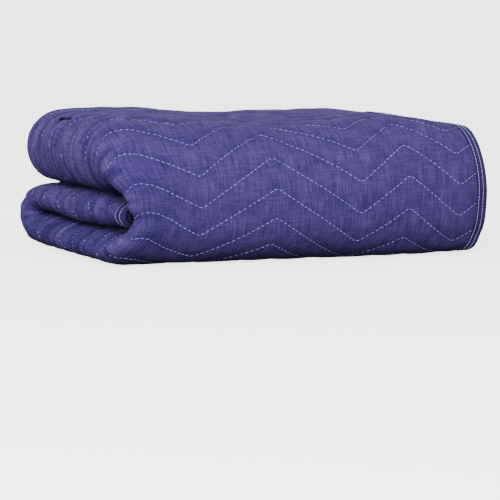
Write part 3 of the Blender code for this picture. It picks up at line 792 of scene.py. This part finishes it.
def tape_section():
    """The cross-section of a folded tape as (in from the edge, above the middle), rounded at the fold."""
    outside, inside = TAPE_TOP, TAPE_TOP - TAPE_THICKNESS
    corner_in, corner_down = 0.0006, 0.0003
    round_start = 0.0012
    flat = (TAPE_ROWS[1], 0.014, TAPE_ROWS[0], 0.005)
    rounds = [math.radians(a) for a in (90, 62, 35, 12, -12, -35, -62, -90)]
    shell = [(TAPE_WIDTH, outside - corner_down), (TAPE_WIDTH - corner_in, outside)]
    shell += [(d, outside) for d in flat]
    shell += [(round_start - (TAPE_PAST + round_start) * math.cos(a), outside * math.sin(a)) for a in rounds]
    shell += [(d, -outside) for d in reversed(flat)]
    shell += [(TAPE_WIDTH - corner_in, -outside), (TAPE_WIDTH, -outside + corner_down)]
    under = [(TAPE_WIDTH, -inside), (0.0, -inside), (-TAPE_CLEARANCE, 0.0)]
    over = [(0.0, inside), (TAPE_WIDTH, inside)]
    return np.array(shell + under + over)


def tape_face(place):
    """The outer face of a tape, as stitch_mesh asks for it."""
    def face_at(inset, along, above=0.0):
        u, v = place(inset, along)
        return lay(u, v, TAPE_TOP + above)
    return face_at


def make_tape(name, node, place, start, end, spacing, turn_faces, material):
    """One binding tape, in place of its CAD node."""
    section = tape_section()
    stations = np.linspace(start, end, round((end - start) / spacing) + 1)
    inset = np.broadcast_to(section[:, 0], (len(stations), len(section)))
    along = np.broadcast_to(stations[:, None], inset.shape)
    u, v = place(inset, along)
    weave = TAPE_ROUGH * lumps(along, inset, TAPE_WEAVE) * (section[:, 1] > 0)
    drawn = sum(ridge(inset, row, EDGE_STITCH_REACH) for row in TAPE_ROWS) * EDGE_STITCH_DEPTH
    outside = np.abs(section[:, 1]) >= TAPE_TOP - 1e-6
    above = section[:, 1] + np.sign(section[:, 1]) * (weave - drawn * outside)
    points = lay(u, v, above).reshape(-1, 3)
    index = np.arange(inset.size).reshape(inset.shape)
    looped = np.concatenate([index, index[:, :1]], axis=1)
    faces = grid_quads(looped) + [index[0].tolist(), index[-1, ::-1].tolist()]
    if turn_faces:
        faces = [face[::-1] for face in faces]
    flat = np.stack([inset, along], -1).reshape(-1, 2)
    piece = add_piece(name, points, faces, flat, material, "binding")
    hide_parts(node)
    return piece


def tape_stitches(place, start, end):
    """The two rows of stitching on a tape's outer face, as mesh parts."""
    face_at = tape_face(place)
    parts = []
    for row in TAPE_ROWS:
        t = np.linspace(start, end, EDGE_STEPS)
        walked = walked_along(face_at(np.full_like(t, row), t))
        starts = np.arange(EDGE_FIRST, walked[-1] - EDGE_PITCH, EDGE_PITCH)
        rings = starts[:, None] + EDGE_STITCH_SHARE * EDGE_PITCH * np.array(STITCH_RINGS)[None, :]
        along = np.interp(rings, walked, t)
        line = np.full_like(along, EDGE_WAVE_STRIDE * row)
        wavy = row + EDGE_WAVE * noise(along / EDGE_WAVE_LENGTH, line, EDGE_WAVE_SEED)
        parts.append(stitch_mesh(wavy, along, EDGE_THREAD_SINK, EDGE_THREAD_RADIUS, face_at))
    return parts


def new_material(name):
    """An empty node material: (material, nodes, links, its Principled shader)."""
    material = bpy.data.materials.new(name)
    material.use_nodes = True
    tree = material.node_tree
    return material, tree.nodes, tree.links, tree.nodes["Principled BSDF"]


def shader_node(nodes, kind, **values):
    """A shader node with some of its inputs or settings set."""
    made = nodes.new(kind)
    for key, value in values.items():
        if key in made.inputs:
            made.inputs[key].default_value = value
        else:
            setattr(made, key, value)
    return made


def set_inputs(shader, values):
    """Sets constants on a shader's own sockets."""
    for key, value in values.items():
        shader.inputs[key].default_value = value


def flat_place(nodes):
    """The sheet's own coordinates, in metres."""
    return shader_node(nodes, "ShaderNodeUVMap", uv_map="flat").outputs["UV"]


def scaled(nodes, links, flat, scale, turn=0.0):
    """The sheet's own coordinates, scaled each way and turned."""
    mapping = nodes.new("ShaderNodeMapping")
    mapping.inputs["Scale"].default_value = (*scale, 1)
    mapping.inputs["Rotation"].default_value = (0, 0, turn)
    links.new(flat, mapping.inputs["Vector"])
    return mapping.outputs["Vector"]


def fibres(nodes, links, flat, layer):
    """Noise over the sheet, from (lumps per metre each way, detail, roughness)."""
    per_metre, detail, roughness = layer
    made = shader_node(nodes, "ShaderNodeTexNoise", Scale=1.0, Detail=detail, Roughness=roughness)
    links.new(scaled(nodes, links, flat, per_metre), made.inputs["Vector"])
    return made.outputs["Fac"]


def bands(nodes, links, flat, direction, scale, distortion, turn=0.0):
    """Even bands over the sheet, as woven threads make."""
    made = shader_node(nodes, "ShaderNodeTexWave", Scale=1.0, wave_type="BANDS")
    made.bands_direction = direction
    made.inputs["Distortion"].default_value = distortion
    links.new(scaled(nodes, links, flat, (scale, scale), turn), made.inputs["Vector"])
    return made


def maths(nodes, links, operation, first, second):
    """One maths node on two sockets or numbers."""
    made = nodes.new("ShaderNodeMath")
    made.operation = operation
    for socket, value in zip(made.inputs, (first, second)):
        if isinstance(value, (int, float)):
            socket.default_value = value
        else:
            links.new(value, socket)
    return made.outputs[0]


def weighted_sum(nodes, links, *terms):
    """The sum of (socket, weight) pairs."""
    total = None
    for socket, weight in terms:
        term = maths(nodes, links, "MULTIPLY", socket, weight)
        total = term if total is None else maths(nodes, links, "ADD", total, term)
    return total


def on_ramp(nodes, links, value, stops):
    """A colour from a ramp of (place, colour) stops, in rising order."""
    ramp = nodes.new("ShaderNodeValToRGB")
    elements = ramp.color_ramp.elements
    for element, (place, color) in zip(elements, (stops[0], stops[-1])):
        element.position = place
        element.color = color
    for place, color in stops[1:-1]:
        elements.new(place).color = color
    links.new(value, ramp.inputs["Fac"])
    return ramp.outputs["Color"]


def raise_threads(nodes, links, shader, height, strength):
    """Raises the threads a little from the cloth."""
    bump = shader_node(nodes, "ShaderNodeBump", Strength=strength, Distance=THREAD_HEIGHT)
    links.new(height, bump.inputs["Height"])
    links.new(bump.outputs["Normal"], shader.inputs["Normal"])


# Layers of fibres: lumps per metre each way, detail, and roughness.
STREAKS = ((560, 50), 3.0, 0.6)
CROSS_THREADS = ((45, 700), 2.0, 0.5)
GRAIN = ((900, 900), 2.0, 0.6)
PATCHES = ((60, 60), 4.0, 0.6)
TAPE_FUZZ = ((700, 300), 2.0, 0.6)
THREAD_FUZZ = ((900, 900), 1.0, 0.5)
THREAD_HEIGHT = 0.0003

# The scale of the twill, with a band each 2.1 mm, and of the tape's ribs, one each 1.7 mm.
TWILL, TWILL_TURN, TWILL_DISTORTION, TWILL_DETAIL = 150, math.radians(52), 3.0, 0.4
RIBS, RIB_DISTORTION = 180, 0.4

# Colours, each with its place on the ramp.
CLOTH_RAMP = (
    # The near-black first stop is painted shade: the cloth nears it where painted shade darkens it, in the
    # pleat and in the folds turned under.
    (0.09, (0.002, 0.002, 0.010, 1)),
    (0.57, (0.0225, 0.0143, 0.092, 1)),
    (0.74, (0.0462, 0.0312, 0.133, 1)),
    (0.93, (0.083, 0.0570, 0.197, 1)),
)
TAPE_RAMP = ((0.35, (0.012, 0.008, 0.048, 1)), (1.0, (0.030, 0.020, 0.092, 1)))
THREAD_PALE = (0.41, 0.36, 0.96)
THREAD_DARK = tuple(0.72 * part for part in THREAD_PALE)
THREAD_RAMP = ((0.3, (*THREAD_DARK, 1)), (0.7, (*THREAD_PALE, 1)))


def woven_cloth():
    """Heathered violet-blue twill: two threads, slubs along one of them, a soft sheen, and painted light and
    shade from the mesh on its colour.
    """
    material, nodes, links, shader = new_material("woven cloth")
    flat = flat_place(nodes)
    streaks, cross, grain, patches = (
        fibres(nodes, links, flat, layer) for layer in (STREAKS, CROSS_THREADS, GRAIN, PATCHES)
    )
    twill = bands(nodes, links, flat, "X", TWILL, TWILL_DISTORTION, TWILL_TURN)
    twill.inputs["Detail Scale"].default_value = TWILL_DETAIL
    twill = twill.outputs["Fac"]
    # Painted light and shade from the mesh, added to the place on the colour ramp.
    painted_shading_fac = shader_node(nodes, "ShaderNodeAttribute", attribute_name="painted_shading").outputs["Fac"]

    mixed = weighted_sum(
        nodes, links, (streaks, 0.64), (cross, 0.34), (grain, 0.16), (patches, 0.31), (twill, 0.05)
    )
    color = on_ramp(nodes, links, maths(nodes, links, "ADD", mixed, painted_shading_fac), CLOTH_RAMP)
    links.new(color, shader.inputs["Base Color"])
    raise_threads(nodes, links, shader, weighted_sum(nodes, links, (twill, 0.6), (grain, 1.0)), 0.45)
    rough = maths(nodes, links, "ADD", maths(nodes, links, "MULTIPLY", grain, 0.16), 0.74)
    links.new(rough, shader.inputs["Roughness"])
    set_inputs(shader, {
        "Sheen Weight": 0.05,
        "Sheen Roughness": 0.45,
        "Sheen Tint": (0.50, 0.45, 0.95, 1),
        "Specular IOR Level": 0.06,
    })
    return material


def binding_cloth():
    """Plain dark tape with fine ribs across it."""
    material, nodes, links, shader = new_material("binding tape")
    flat = flat_place(nodes)
    ribs = bands(nodes, links, flat, "Y", RIBS, RIB_DISTORTION).outputs["Fac"]
    mixed = weighted_sum(nodes, links, (ribs, 0.45), (fibres(nodes, links, flat, TAPE_FUZZ), 1.0))
    links.new(on_ramp(nodes, links, mixed, TAPE_RAMP), shader.inputs["Base Color"])
    raise_threads(nodes, links, shader, mixed, 0.5)
    set_inputs(shader, {"Roughness": 0.8, "Sheen Weight": 0.04, "Specular IOR Level": 0.06})
    return material


def sewing_thread():
    """Twisted pale thread, a little violet."""
    material, nodes, links, shader = new_material("sewing thread")
    fuzz = fibres(nodes, links, flat_place(nodes), THREAD_FUZZ)
    links.new(on_ramp(nodes, links, fuzz, THREAD_RAMP), shader.inputs["Base Color"])
    set_inputs(shader, {"Roughness": 0.55, "Sheen Weight": 0.15})
    return material


# The camera: metres, degrees, and millimetres of lens and sensor.
CAMERA_PLACE = (-1.473394, -2.917674, 0.368884)
CAMERA_YAW, CAMERA_DOWN, CAMERA_ROLL = 26.75, 6.45, 1.2
CAMERA_LENS, CAMERA_SENSOR = 183.744, 36


def make_camera():
    """The photograph's view."""
    yaw, down, roll = math.radians(CAMERA_YAW), math.radians(CAMERA_DOWN), math.radians(CAMERA_ROLL)
    level = np.array([math.cos(yaw), -math.sin(yaw), 0.0])
    upright = np.array([math.sin(yaw) * math.sin(down), math.cos(yaw) * math.sin(down), math.cos(down)])
    back = np.array([-math.sin(yaw) * math.cos(down), -math.cos(yaw) * math.cos(down), math.sin(down)])
    right = level * math.cos(roll) + upright * math.sin(roll)
    up = upright * math.cos(roll) - level * math.sin(roll)
    data = bpy.data.cameras.new("camera")
    data.sensor_width = CAMERA_SENSOR
    data.lens = CAMERA_LENS
    camera = bpy.data.objects.new("camera", data)
    bpy.context.scene.collection.objects.link(camera)
    rows = [[float(right[i]), float(up[i]), float(back[i]), CAMERA_PLACE[i]] for i in range(3)]
    camera.matrix_world = Matrix(rows + [[0, 0, 0, 1]])
    bpy.context.scene.camera = camera


# Name, place, size and strength of each soft light. All face the pile.
LIGHTS = (
    ("key", (-1.8, -2.8, 1.6), 1.2, 158),
    ("fill", (1.2, -2.8, 0.9), 1.6, 20),
    ("side", (-3.0, -0.3, 0.28), 1.0, 25),
)
LIT_POINT = (0, 0, 0.1)
GROUND, HORIZON, ZENITH = 0.02, 1.35, 0.44  # how brightly the surround lights the pile
SEEN = 8.0  # how bright the surround is to look at
# How far up the surround each light starts: 0 is straight down, 0.5 level and 1 straight up.
SURROUND = ((0.44, GROUND), (0.50, HORIZON), (0.62, HORIZON), (1.0, ZENITH))
FLOOR_REACH = 60  # far enough that its end meets the horizon
FLOOR_COLOR = (0.94, 0.94, 0.95, 1)
FLOOR_GLOW = 2.6


def make_world():
    """An even white surround, dimmer from below."""
    world = bpy.data.worlds.new("studio")
    world.use_nodes = True
    nodes, links = world.node_tree.nodes, world.node_tree.links
    way = nodes.new("ShaderNodeTexCoord")
    parts = nodes.new("ShaderNodeSeparateXYZ")
    links.new(way.outputs["Generated"], parts.inputs["Vector"])
    height = maths(nodes, links, "ADD", maths(nodes, links, "MULTIPLY", parts.outputs["Z"], 0.5), 0.5)
    stops = [(place, (level / HORIZON,) * 3 + (1,)) for place, level in SURROUND]
    lighting = maths(nodes, links, "MULTIPLY", on_ramp(nodes, links, height, stops), HORIZON)
    chosen = nodes.new("ShaderNodeMix")
    links.new(nodes.new("ShaderNodeLightPath").outputs["Is Camera Ray"], chosen.inputs["Factor"])
    links.new(lighting, chosen.inputs["A"])
    chosen.inputs["B"].default_value = SEEN
    links.new(chosen.outputs["Result"], nodes["Background"].inputs["Strength"])
    nodes["Background"].inputs["Color"].default_value = (1.0, 1.0, 1.0, 1)
    bpy.context.scene.world = world


def make_studio():
    """A pale floor, a pale surround and soft lights."""
    mesh = bpy.data.meshes.new("floor")
    corners = [(x * FLOOR_REACH, y * FLOOR_REACH, 0) for x, y in ((-1, -1), (1, -1), (1, 1), (-1, 1))]
    mesh.from_pydata(corners, [], [(0, 1, 2, 3)])
    material, _, _, shader = new_material("pale floor")
    set_inputs(shader, {
        "Base Color": FLOOR_COLOR,
        "Roughness": 0.9,
        "Specular IOR Level": 0.1,
        "Emission Color": (1, 1, 1, 1),
        "Emission Strength": FLOOR_GLOW,
    })
    mesh.materials.append(material)
    floor = bpy.data.objects.new("floor", mesh)
    floor.visible_diffuse = False
    floor.visible_glossy = False
    bpy.context.scene.collection.objects.link(floor)
    make_world()

    for name, place, width, strength in LIGHTS:
        data = bpy.data.lights.new(name, "AREA")
        data.size = width
        data.energy = strength
        light = bpy.data.objects.new(name, data)
        bpy.context.scene.collection.objects.link(light)
        light.rotation_euler = (Vector(place) - Vector(LIT_POINT)).to_track_quat("Z", "Y").to_euler()
        light.location = place


make_camera()
make_studio()
cloth, tape, thread = woven_cloth(), binding_cloth(), sewing_thread()
quilt = make_quilt(cloth)
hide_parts("quilt")
quilting = make_quilting(thread)

tapes = [
    make_tape("tape_" + edge, "binding_" + edge, place, start, end, spacing, turn_faces, tape)
    for edge, place, start, end, spacing, turn_faces in TAPES
]
stitches = [part for line, start, end in SEWN for part in tape_stitches(TAPES[line][1], start, end)]
edging = add_piece("binding_thread", *join_meshes(stitches), thread, "binding")
